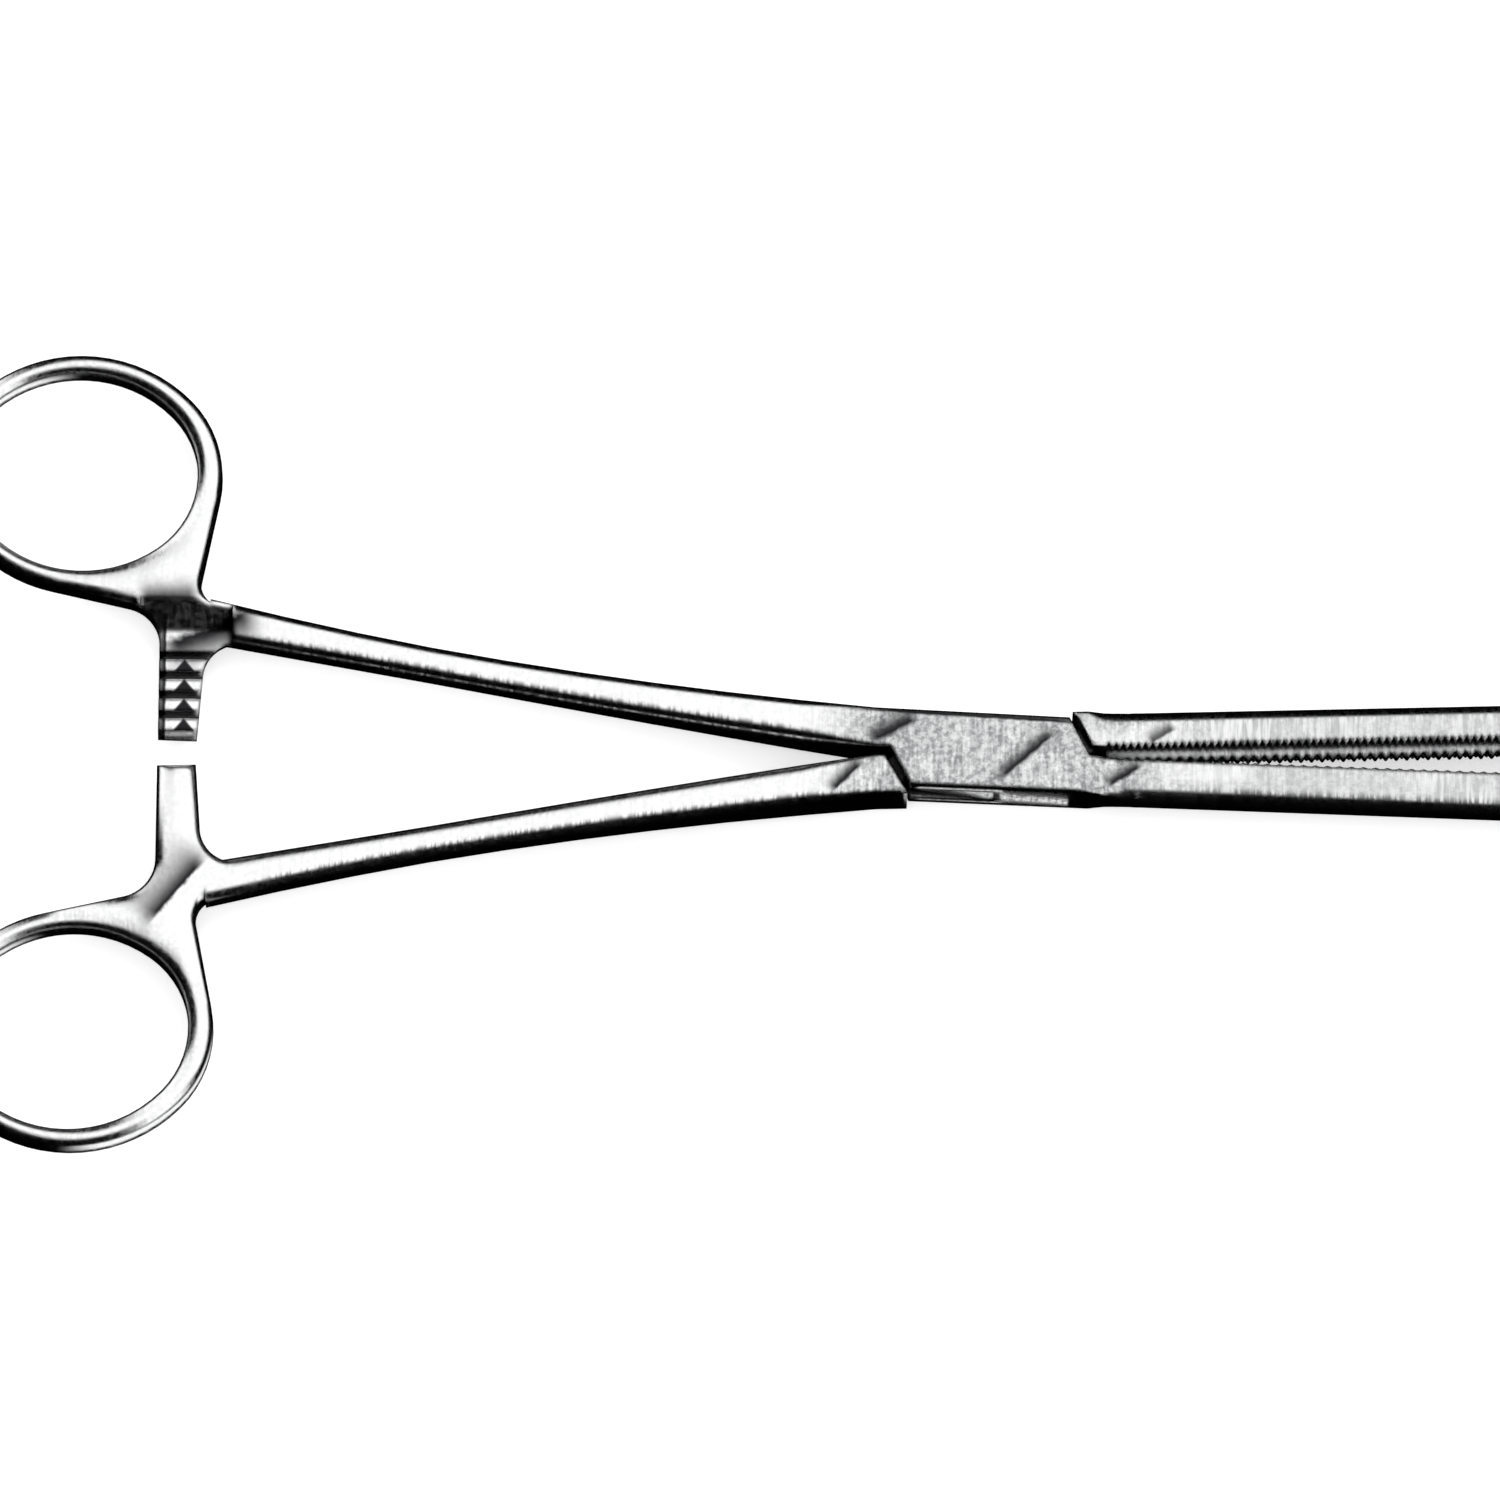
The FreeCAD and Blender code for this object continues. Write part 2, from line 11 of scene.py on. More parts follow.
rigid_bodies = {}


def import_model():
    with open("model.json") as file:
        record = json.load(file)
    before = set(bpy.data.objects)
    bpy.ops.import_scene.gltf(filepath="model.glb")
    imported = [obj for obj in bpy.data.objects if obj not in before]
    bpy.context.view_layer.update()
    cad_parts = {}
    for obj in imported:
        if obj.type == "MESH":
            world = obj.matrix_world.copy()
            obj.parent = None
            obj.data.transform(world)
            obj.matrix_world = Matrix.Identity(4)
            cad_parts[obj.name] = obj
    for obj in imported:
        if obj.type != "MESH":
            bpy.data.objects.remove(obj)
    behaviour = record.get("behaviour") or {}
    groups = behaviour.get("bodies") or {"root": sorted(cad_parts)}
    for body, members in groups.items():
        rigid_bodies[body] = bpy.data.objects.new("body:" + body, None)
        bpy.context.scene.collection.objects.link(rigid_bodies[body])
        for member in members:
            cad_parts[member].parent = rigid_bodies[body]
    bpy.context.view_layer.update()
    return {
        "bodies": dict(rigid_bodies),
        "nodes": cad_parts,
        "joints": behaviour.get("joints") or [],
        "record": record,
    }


LOG = logging.getLogger("clamp")
MM = 0.001


class Reach(Enum):
    """Which rays a studio card is there for."""

    SEEN = "seen"
    REFLECTED = "reflected"


# Node helpers


@dataclass
class Sheet:
    """A node tree with short ways to add and join its nodes."""

    tree: bpy.types.NodeTree

    def add(self, kind: str, **settings: object) -> bpy.types.Node:
        """Adds a node.

        Args:
            kind: The node's type name.
            settings: Values for the node's own properties.

        Returns:
            The new node.
        """
        node = self.tree.nodes.new(kind)
        for name, value in settings.items():
            setattr(node, name, value)
        return node

    def feed(self, node: bpy.types.Node, **values: object) -> bpy.types.Node:
        """Sets or links a node's inputs by name.

        Args:
            node: The node whose inputs are set.
            values: A socket to link, or a plain value, for each input. An underscore in a
                name stands for a space, and input_N stands for the input with that number.

        Returns:
            The same node.
        """
        for name, value in values.items():
            if name.startswith("input_"):
                socket = node.inputs[int(name.removeprefix("input_"))]
            else:
                socket = node.inputs[name.replace("_", " ")]
            if isinstance(value, bpy.types.NodeSocket):
                self.tree.links.new(value, socket)
            else:
                socket.default_value = value
        return node

    def sum(self, operation: str, *terms: object, clamp: bool = False) -> bpy.types.NodeSocket:
        """Works out a sum of numbers.

        Args:
            operation: The Math node's operation.
            terms: Sockets or plain numbers.
            clamp: Whether the answer is kept between 0 and 1.

        Returns:
            The socket with the answer.
        """
        node = self.add("ShaderNodeMath", operation=operation, use_clamp=clamp)
        for index, term in enumerate(terms):
            self.feed(node, **{f"input_{index}": term})
        return node.outputs[0]

    def fade(self, value: object, low: object, high: object,
             start: object = 0.0, end: object = 1.0) -> bpy.types.NodeSocket:
        """Maps a value smoothly from one range to another.

        Args:
            value: The socket to map.
            low: Value that becomes start.
            high: Value that becomes end.
            start: First end of the new range.
            end: Second end of the new range.

        Returns:
            The socket with the mapped value.
        """
        node = self.add("ShaderNodeMapRange", interpolation_type="SMOOTHSTEP")
        self.feed(node, Value=value, From_Min=low, From_Max=high, To_Min=start, To_Max=end)
        return node.outputs["Result"]

    def blend(self, share: object, first: object, second: object) -> bpy.types.NodeSocket:
        """Mixes two colours.

        Args:
            share: How much of the second colour, 0 to 1.
            first: A colour or a colour socket.
            second: A colour or a colour socket.

        Returns:
            The mixed colour's socket.
        """
        node = self.add("ShaderNodeMix", data_type="RGBA")
        self.feed(node, input_0=share, input_6=first, input_7=second)
        return node.outputs[2]


def new_group(name: str, inputs: dict[str, tuple[str, float]],
              outputs: dict[str, str]) -> tuple[Sheet, bpy.types.Node, bpy.types.Node]:
    """Starts a shader node group with named sockets.

    Args:
        name: The group's name.
        inputs: Socket kind and default value for each input.
        outputs: Socket kind for each output.

    Returns:
        The group's sheet, its input node and its output node.
    """
    tree = bpy.data.node_groups.new(name, "ShaderNodeTree")
    for label, (kind, default) in inputs.items():
        socket = tree.interface.new_socket(name=label, in_out="INPUT", socket_type=kind)
        if kind == "NodeSocketFloat":
            socket.default_value = default
    for label, kind in outputs.items():
        tree.interface.new_socket(name=label, in_out="OUTPUT", socket_type=kind)
    sheet = Sheet(tree)
    return sheet, sheet.add("NodeGroupInput"), sheet.add("NodeGroupOutput")


# Effects that the steels share


def ground_grain() -> bpy.types.NodeTree:
    """Builds the grain of ground and satin-polished steel.

    Returns:
        A group that takes a place on the steel and gives the grain's shade and height, and the
        fine lines across the clamp.
    """
    # The levels are those of the noise that a mask fades between.
    grain_levels = (0.36, 0.64)
    line_levels = (0.6, 0.42)
    patch_levels = (0.35, 0.65)
    cloud_levels = (0.3, 0.7)
    patch_scale = 140.0             # of the broad noise, for a metre
    line_stretch = 0.12             # scale of the lines' noise along the lines
    patch_lines = (0.4, 1.0)        # share of the lines in one patch and the next
    cloud_shades = (0.62, 0.95)     # of the darkest cloud and the palest
    sheet, inside, outside = new_group(
        "ground_grain",
        {"Place": ("NodeSocketVector", 0.0), "Speck": ("NodeSocketFloat", 0.3),
         "Line": ("NodeSocketFloat", 0.2), "Line Share": ("NodeSocketFloat", 0.4)},
        {"Shade": "NodeSocketFloat", "Height": "NodeSocketFloat", "Lines": "NodeSocketFloat"})
    speck = sheet.add("ShaderNodeTexNoise")
    sheet.feed(speck, Vector=inside.outputs["Place"], Detail=3.0, Roughness=0.6,
               Scale=sheet.sum("DIVIDE", 1 / MM, inside.outputs["Speck"]))
    stretch = sheet.add("ShaderNodeMapping", vector_type="POINT")
    sheet.feed(stretch, Vector=inside.outputs["Place"],
               Scale=(1.0, line_stretch, line_stretch))
    line = sheet.add("ShaderNodeTexNoise")
    sheet.feed(line, Vector=stretch.outputs[0], Detail=2.0, Roughness=0.5,
               Scale=sheet.sum("DIVIDE", 1 / MM, inside.outputs["Line"]))
    broad = sheet.add("ShaderNodeTexNoise")
    sheet.feed(broad, Vector=inside.outputs["Place"], Scale=patch_scale, Detail=2.0)
    specks = sheet.fade(speck.outputs["Fac"], *grain_levels)
    lines = sheet.fade(line.outputs["Fac"], *grain_levels)
    mixed = sheet.add("ShaderNodeMix", data_type="FLOAT")
    share = sheet.sum("MULTIPLY", inside.outputs["Line Share"],
                      sheet.fade(broad.outputs["Fac"], *patch_levels, *patch_lines))
    sheet.feed(mixed, input_0=share, input_2=specks, input_3=lines)
    cloudy = sheet.fade(broad.outputs["Fac"], *cloud_levels, *cloud_shades)
    sheet.feed(outside, Shade=sheet.sum("MULTIPLY", mixed.outputs[0], cloudy),
               Height=mixed.outputs[0], Lines=sheet.fade(line.outputs["Fac"], *line_levels))
    return sheet.tree


def soft_edges_painted_shade() -> bpy.types.NodeTree:
    """Builds the softened edges, and the masks of painted shade in hollows and where edges turn
    down.

    Returns:
        A group that takes reaches in metres and gives a mask of painted shade in hollows, a mask
        of painted shade where the near edges turn down, and the normal of the softened edges.
    """
    open_to_hollow = (0.94, 0.58)       # share of open surroundings on a flat and in a hollow
    level_to_turned = (-0.05, -0.3)     # Y of the softened normal before an edge and down it
    sheet, inside, outside = new_group(
        "soft_edges_painted_shade",
        {"Edge Reach": ("NodeSocketFloat", 0.2 * MM),
         "Hollow Reach": ("NodeSocketFloat", 0.5 * MM)},
        {"Hollow": "NodeSocketFloat", "Turn": "NodeSocketFloat",
         "Soft Normal": "NodeSocketVector"})
    bevel = sheet.add("ShaderNodeBevel", samples=8)
    sheet.feed(bevel, Radius=inside.outputs["Edge Reach"])
    hollow = sheet.add("ShaderNodeAmbientOcclusion", samples=6)
    sheet.feed(hollow, Distance=inside.outputs["Hollow Reach"])
    depth = sheet.fade(hollow.outputs["AO"], *open_to_hollow)
    split = sheet.feed(sheet.add("ShaderNodeSeparateXYZ"), Vector=bevel.outputs[0])
    turn = sheet.fade(split.outputs["Y"], *level_to_turned)
    sheet.feed(outside, Hollow=depth, Turn=turn, Soft_Normal=bevel.outputs[0])
    return sheet.tree


def painted_light_streak() -> bpy.types.NodeTree:
    """Builds one slanting streak of painted light across a flat, for the painted reflections,
    shade and highlights.

    Returns:
        A group that takes a place, the streak's middle, half width and half length in metres
        and its lean in radians, and gives the streak's mask.
    """
    fray_scale = 900.0
    fray_levels = (0.3, 0.7)
    fray_widths = (0.9, 1.12)       # times the streak's width
    crisp_side = (-1.0, -0.55)      # where one side fades in, in half widths from the middle
    soft_side = (1.6, -0.55)        # the same for the other side
    soft_power = 1.6                # how hollow the soft side's fade is
    ends = (1.1, 0.6)               # where the ends fade in, in half lengths
    sheet, inside, outside = new_group(
        "painted_light_streak",
        {"Place": ("NodeSocketVector", 0.0), "At X": ("NodeSocketFloat", 0.0),
         "At Y": ("NodeSocketFloat", 0.0), "Half Width": ("NodeSocketFloat", MM),
         "Half Length": ("NodeSocketFloat", 4 * MM), "Lean": ("NodeSocketFloat", 0.8)},
        {"Streak": "NodeSocketFloat"})
    split = sheet.add("ShaderNodeSeparateXYZ")
    sheet.feed(split, Vector=inside.outputs["Place"])
    across_x = sheet.sum("SUBTRACT", split.outputs["X"], inside.outputs["At X"])
    across_y = sheet.sum("SUBTRACT", split.outputs["Y"], inside.outputs["At Y"])
    cosine = sheet.sum("COSINE", inside.outputs["Lean"])
    sine = sheet.sum("SINE", inside.outputs["Lean"])
    along = sheet.sum("ADD", sheet.sum("MULTIPLY", across_x, cosine),
                      sheet.sum("MULTIPLY", across_y, sine))
    aside = sheet.sum("SUBTRACT", sheet.sum("MULTIPLY", across_y, cosine),
                      sheet.sum("MULTIPLY", across_x, sine))
    frayed = sheet.add("ShaderNodeTexNoise")
    sheet.feed(frayed, Vector=inside.outputs["Place"], Scale=fray_scale, Detail=3.0)
    ragged = sheet.fade(frayed.outputs["Fac"], *fray_levels, *fray_widths)
    width = sheet.sum("MULTIPLY", inside.outputs["Half Width"], ragged)
    off = sheet.sum("DIVIDE", aside, width)
    crisp = sheet.fade(off, *crisp_side)
    soft = sheet.fade(off, *soft_side)
    end = sheet.fade(sheet.sum("DIVIDE", sheet.sum("ABSOLUTE", along),
                               inside.outputs["Half Length"]), *ends)
    side = sheet.sum("MULTIPLY", crisp, sheet.sum("POWER", soft, soft_power))
    sheet.feed(outside, Streak=sheet.sum("MULTIPLY", side, end))
    return sheet.tree


def tooth_peak_shade() -> bpy.types.NodeTree:
    """Builds the dark peaks of painted shade that stand on the ratchet's crests.

    Returns:
        A group that takes a place and the ratchet's place, pitch and height in metres, and gives
        the mask of the painted shade.
    """
    slant = (0.85, 0.65)            # where a peak fades in: pitches along and half widths aside
    crest_margin = 0.1 * MM         # from the crests' height
    sheet, inside, outside = new_group(
        "tooth_peak_shade",
        {"Place": ("NodeSocketVector", 0.0), "Middle": ("NodeSocketFloat", 0.0),
         "First": ("NodeSocketFloat", 0.0), "Last": ("NodeSocketFloat", 8 * MM),
         "Pitch": ("NodeSocketFloat", 2 * MM), "Half Width": ("NodeSocketFloat", MM),
         "Height": ("NodeSocketFloat", 3 * MM)},
        {"Marks": "NodeSocketFloat"})
    split = sheet.feed(sheet.add("ShaderNodeSeparateXYZ"), Vector=inside.outputs["Place"])
    off = sheet.sum("ABSOLUTE", sheet.sum("SUBTRACT", split.outputs["X"],
                                          inside.outputs["Middle"]))
    fall = sheet.sum("DIVIDE", off, inside.outputs["Half Width"])
    along = sheet.sum("SUBTRACT", split.outputs["Y"], inside.outputs["First"])
    rise = sheet.sum("FRACT", sheet.sum("DIVIDE", along, inside.outputs["Pitch"]))
    peak = sheet.fade(sheet.sum("ADD", rise, fall), *slant)
    past = sheet.sum("LESS_THAN", split.outputs["Y"], inside.outputs["Last"])
    level = sheet.sum("COMPARE", split.outputs["Z"], inside.outputs["Height"], crest_margin)
    on_crest = sheet.sum("MULTIPLY", past, level)
    sheet.feed(outside, Marks=sheet.sum("MULTIPLY", peak, on_crest))
    return sheet.tree


# Finishes


@dataclass(frozen=True)
class ToothMarks:
    """Where the painted peaks of shade stand on the ratchet's crests, and their size, in
    millimetres.
    """

    middle: float = -80.6
    first: float = 0.05
    last: float = 10.2
    pitch: float = 2.05
    half_width: float = 1.7
    height: float = 3.16


@dataclass(frozen=True)
class Streak:
    """A streak of painted light: dark for painted reflections and shade, pale for painted
    highlights.

    Its middle, half width and half length are in millimetres and its lean in degrees.
    """

    x: float
    y: float
    half_width: float
    half_length: float
    lean: float
    strength: float = 0.85
    pale: bool = False


@dataclass(frozen=True)
class SteelFinish:
    """Ground and satin-polished stainless steel, with painted shade, painted reflections and
    painted highlights.

    Reaches, runs and places along the clamp are in millimetres, from the pin. The shares say how
    much of the grain shows, and the calms how far it is evened out.
    """

    name: str
    bright: tuple[float, float, float, float] = (0.98, 0.982, 0.985, 1.0)
    dull: tuple[float, float, float, float] = (0.22, 0.224, 0.23, 1.0)
    # The colour of the painted shade and of the dark painted reflections.
    dark: tuple[float, float, float, float] = (0.022, 0.022, 0.024, 1.0)
    speck: float = 0.55
    line: float = 0.42
    line_share: float = 0.55
    jaw_line_share: float = 1.0
    roughness: float = 0.15
    roughness_spread: float = 0.1
    grain_height: float = 0.003
    edge_reach: float = 0.85
    hatched_shade_strength: float = 0.6
    ring_end: float = -82.0
    ring_run: float = 10.0
    shank_end: float = -74.0
    jaw_start: float = 26.0
    near_run: float = 4.0
    far_run: float = 8.0
    calm_run: float = 10.0
    pin_clear: tuple[float, float] = (2.0, 2.6)
    box_zone: tuple[float, float] = (-11.0, 13.0)
    jaw_share: float = 0.75
    box_calm: float = 0.15
    jaw_calm: float = 0.35
    mean_shade: float = 0.52
    shank_share: float = 0.1
    ring_share: float = 0.08
    hollow_reach: float = 1.3
    streaks: tuple[Streak, ...] = ()
    peak_shade: ToothMarks | None = None

    def material(self) -> bpy.types.Material:
        """Builds the steel's material.

        Returns:
            The new material.
        """
        material = bpy.data.materials.new(self.name)
        material.use_nodes = True
        material.node_tree.nodes.clear()
        sheet = Sheet(material.node_tree)
        place = sheet.add("ShaderNodeTexCoord").outputs["Object"]
        split = sheet.feed(sheet.add("ShaderNodeSeparateXYZ"), Vector=place)
        lined = self.along_fade(sheet, split.outputs["X"], self.jaw_start - self.far_run,
                                self.far_run, self.line_share, self.jaw_line_share)
        grain = self.effect(sheet, "ground_grain", Place=place, Speck=self.speck,
                            Line=self.line, Line_Share=lined)
        edges_and_shade = self.effect(sheet, "soft_edges_painted_shade", Edge_Reach=self.edge_reach * MM,
                           Hollow_Reach=self.hollow_reach * MM)
        shade = self.ground_share(sheet, split.outputs["X"], grain.outputs["Shade"])
        colour = sheet.blend(shade, self.dull, self.bright)
        # Painted light: dark streaks of painted reflection and shade, and pale painted highlights.
        for streak in self.streaks:
            mark = self.effect(sheet, "painted_light_streak", Place=place, At_X=streak.x * MM,
                               At_Y=streak.y * MM, Half_Width=streak.half_width * MM,
                               Half_Length=streak.half_length * MM,
                               Lean=math.radians(streak.lean))
            share = sheet.sum("MULTIPLY", mark.outputs["Streak"], streak.strength)
            colour = sheet.blend(share, colour, self.bright if streak.pale else self.dark)
        # Painted shade: dark peaks on the ratchet's crests.
        if self.peak_shade is not None:
            peak_shade = self.effect(sheet, "tooth_peak_shade", Place=place, Middle=self.peak_shade.middle * MM,
                                First=self.peak_shade.first * MM, Last=self.peak_shade.last * MM,
                                Pitch=self.peak_shade.pitch * MM, Height=self.peak_shade.height * MM,
                                Half_Width=self.peak_shade.half_width * MM)
            colour = sheet.blend(peak_shade.outputs["Marks"], colour, self.dark)
        open_steel = self.away_from_pin(sheet, split)
        # Painted shade: dark hatch lines where the softened edges turn down, on the shanks and the
        # jaws.
        lines = sheet.sum("MULTIPLY", edges_and_shade.outputs["Turn"], grain.outputs["Lines"])
        lines = sheet.sum("MULTIPLY", lines, self.hatched_shade_zone(sheet, split.outputs["X"]))
        colour = sheet.blend(lines, colour, self.dark)
        # Painted shade: the steel darkens in hollows by an occlusion mask, but not over the pin's
        # rim.
        hollow = sheet.sum("MULTIPLY", edges_and_shade.outputs["Hollow"], open_steel)
        colour = sheet.blend(hollow, colour, self.dark)
        rough = sheet.fade(grain.outputs["Height"], 0.0, 1.0,
                           self.roughness + self.roughness_spread, self.roughness)
        bump = sheet.add("ShaderNodeBump")
        sheet.feed(bump, Height=grain.outputs["Height"], Distance=self.grain_height * MM,
                   Strength=1.0, Normal=self.soft_normal(sheet, edges_and_shade, open_steel))
        steel = sheet.add("ShaderNodeBsdfPrincipled")
        sheet.feed(steel, Base_Color=colour, Metallic=1.0, Roughness=rough,
                   Normal=bump.outputs[0])
        end = sheet.add("ShaderNodeOutputMaterial")
        sheet.feed(end, Surface=steel.outputs[0])
        return material

    def away_from_pin(self, sheet: Sheet, place: bpy.types.Node) -> bpy.types.NodeSocket:
        """Tells the steel away from the pin, whose rim is ground away, from that over it.

        Args:
            sheet: The material's sheet.
            place: The node that splits the place on the steel.

        Returns:
            0 over the pin, 1 away from it.
        """
        square = sheet.sum("ADD", sheet.sum("POWER", place.outputs["X"], 2.0),
                           sheet.sum("POWER", place.outputs["Y"], 2.0))
        near, far = self.pin_clear
        return sheet.fade(sheet.sum("SQRT", square), near * MM, far * MM)

    def soft_normal(self, sheet: Sheet, edges_and_shade: bpy.types.Node,
                    open_steel: bpy.types.NodeSocket) -> bpy.types.NodeSocket:
        """Softens the edges, but for the pin's rim.

        Args:
            sheet: The material's sheet.
            edges_and_shade: The node of the softened edges and the painted shade.
            open_steel: 0 over the pin, 1 away from it.

        Returns:
            The softened normal.
        """
        shape = sheet.add("ShaderNodeNewGeometry")
        mixed = sheet.add("ShaderNodeMix", data_type="VECTOR")
        sheet.feed(mixed, input_0=open_steel, input_4=shape.outputs["Normal"],
                   input_5=edges_and_shade.outputs["Soft Normal"])
        return mixed.outputs[1]

    def along_fade(self, sheet: Sheet, along: bpy.types.NodeSocket, first: float, run: float,
                   start: float, end: float) -> bpy.types.NodeSocket:
        """Changes a value smoothly over a stretch of the clamp.

        Args:
            sheet: The material's sheet.
            along: The place along the clamp.
            first: Where the stretch begins, in millimetres from the pin.
            run: How long it is, in millimetres.
            start: The value before it.
            end: The value past it.

        Returns:
            The socket with the value.
        """
        return sheet.fade(along, first * MM, (first + run) * MM, start, end)

    def hatched_shade_zone(self, sheet: Sheet, along: bpy.types.NodeSocket) -> bpy.types.NodeSocket:
        """Keeps the painted hatched shade, where edges turn down, to the shanks and the jaws.

        Args:
            sheet: The material's sheet.
            along: The place along the clamp.

        Returns:
            How strongly the painted hatched shade shows.
        """
        full = self.hatched_shade_strength
        shanks = self.along_fade(sheet, along, self.shank_end, self.near_run, 0.0, full)
        box = self.along_fade(sheet, along, self.box_zone[0], self.near_run, 0.0, full)
        jaws = self.along_fade(sheet, along, self.jaw_start - self.far_run, self.far_run,
                               0.0, full)
        return sheet.sum("ADD", sheet.sum("SUBTRACT", shanks, box), jaws)

    def ground_share(self, sheet: Sheet, along: bpy.types.NodeSocket,
                     shade: bpy.types.NodeSocket) -> bpy.types.NodeSocket:
        """Lets the grain show most on the box, less on the jaws and least on the rings.

        Args:
            sheet: The material's sheet.
            along: The place along the clamp.
            shade: The grain's shade.

        Returns:
            The grain's shade, paled along the clamp.
        """
        low, high = self.box_zone
        rings = self.along_fade(sheet, along, self.ring_end, self.ring_run,
                                self.ring_share, self.shank_share)
        shanks = self.along_fade(sheet, along, low - self.far_run, self.far_run,
                                 0.0, 1.0 - self.shank_share)
        jaws = self.along_fade(sheet, along, high, self.near_run, 0.0, 1.0 - self.jaw_share)
        share = sheet.sum("SUBTRACT", sheet.sum("ADD", rings, shanks), jaws)
        calm = self.along_fade(sheet, along, high, self.calm_run, self.box_calm, self.jaw_calm)
        even = sheet.sum("MULTIPLY", calm, sheet.sum("SUBTRACT", self.mean_shade, shade))
        shade = sheet.sum("ADD", shade, even)
        pale = sheet.sum("MULTIPLY", share, sheet.sum("SUBTRACT", 1.0, shade))
        return sheet.sum("SUBTRACT", 1.0, pale)

    def effect(self, sheet: Sheet, name: str, **values: object) -> bpy.types.Node:
        """Places one of the shared groups in the material.

        Args:
            sheet: The material's sheet.
            name: The group's name.
            values: Values or sockets for the group's inputs.

        Returns:
            The group's node.
        """
        node = sheet.add("ShaderNodeGroup", node_tree=bpy.data.node_groups[name])
        return sheet.feed(node, **values)


# Meshes


def smooth_tangents(crease: float, slope: float, margin: float,
                    weld: float) -> bpy.types.NodeTree:
    """Builds the modifier that joins the surfaces of a piece and smooths all but its edges.

    Args:
        crease: The angle, in degrees, past which an edge stays sharp.
        slope: The lean, in degrees, of the ratchets' long slopes, which stay flat.
        margin: How many degrees from that lean a face still counts as such a slope.
        weld: How near, in millimetres, corners are joined.

    Returns:
        The modifier's node group.
    """
    tree = bpy.data.node_groups.new("smooth_tangents", "GeometryNodeTree")
    tree.is_modifier = True
    for side in ("INPUT", "OUTPUT"):
        tree.interface.new_socket(name="Geometry", in_out=side, socket_type="NodeSocketGeometry")
    sheet = Sheet(tree)
    inside = sheet.add("NodeGroupInput")
    joined = sheet.feed(sheet.add("GeometryNodeMergeByDistance"), Geometry=inside.outputs[0],
                        Distance=weld * MM)
    plain = sheet.feed(sheet.add("GeometryNodeRemoveAttribute"), Geometry=joined.outputs[0],
                       Name="custom_normal")
    rounded = sheet.feed(sheet.add("GeometryNodeSetShadeSmooth", domain="FACE"),
                         Geometry=plain.outputs[0], Shade_Smooth=True)
    lean = math.radians(slope)
    facing = sheet.feed(sheet.add("ShaderNodeVectorMath", operation="DOT_PRODUCT"),
                        input_0=sheet.add("GeometryNodeInputNormal").outputs[0],
                        input_1=(0.0, -math.sin(lean), math.cos(lean)))
    level = sheet.feed(sheet.add("FunctionNodeCompare", data_type="FLOAT",
                                 operation="GREATER_THAN"),
                       input_0=sheet.sum("ABSOLUTE", facing.outputs["Value"]),
                       input_1=math.cos(math.radians(margin)))
    rounded = sheet.feed(sheet.add("GeometryNodeSetShadeSmooth", domain="FACE"),
                         Geometry=rounded.outputs[0], Selection=level.outputs[0],
                         Shade_Smooth=False)
    angle = sheet.add("GeometryNodeInputMeshEdgeAngle")
    sharp = sheet.add("FunctionNodeCompare", data_type="FLOAT", operation="GREATER_THAN")
    sheet.feed(sharp, input_0=angle.outputs["Unsigned Angle"], input_1=math.radians(crease))
    edged = sheet.feed(sheet.add("GeometryNodeSetShadeSmooth", domain="EDGE"),
                       Geometry=rounded.outputs[0], Selection=sharp.outputs[0],
                       Shade_Smooth=False)
    outside = sheet.add("NodeGroupOutput")
    sheet.feed(outside, Geometry=edged.outputs[0])
    return tree


@dataclass
class SteelPiece:
    """One forged and ground piece of the clamp."""

    node: str
    finish: SteelFinish

    def dress(self, frame: dict, smoothing: bpy.types.NodeTree) -> None:
        """Smooths the piece's shading and gives it its steel.

        Args:
            frame: The loaded frame.
            smoothing: The smoothing modifier's node group.
        """
        piece = frame["nodes"][self.node]
        modifier = piece.modifiers.new("smooth_tangents", "NODES")
        modifier.node_group = smoothing
        material = self.finish.material()
        for index in range(len(piece.data.materials)):
            piece.data.materials[index] = material
        LOG.info("%s: %s, %d facets", self.node, self.finish.name, len(piece.data.polygons))


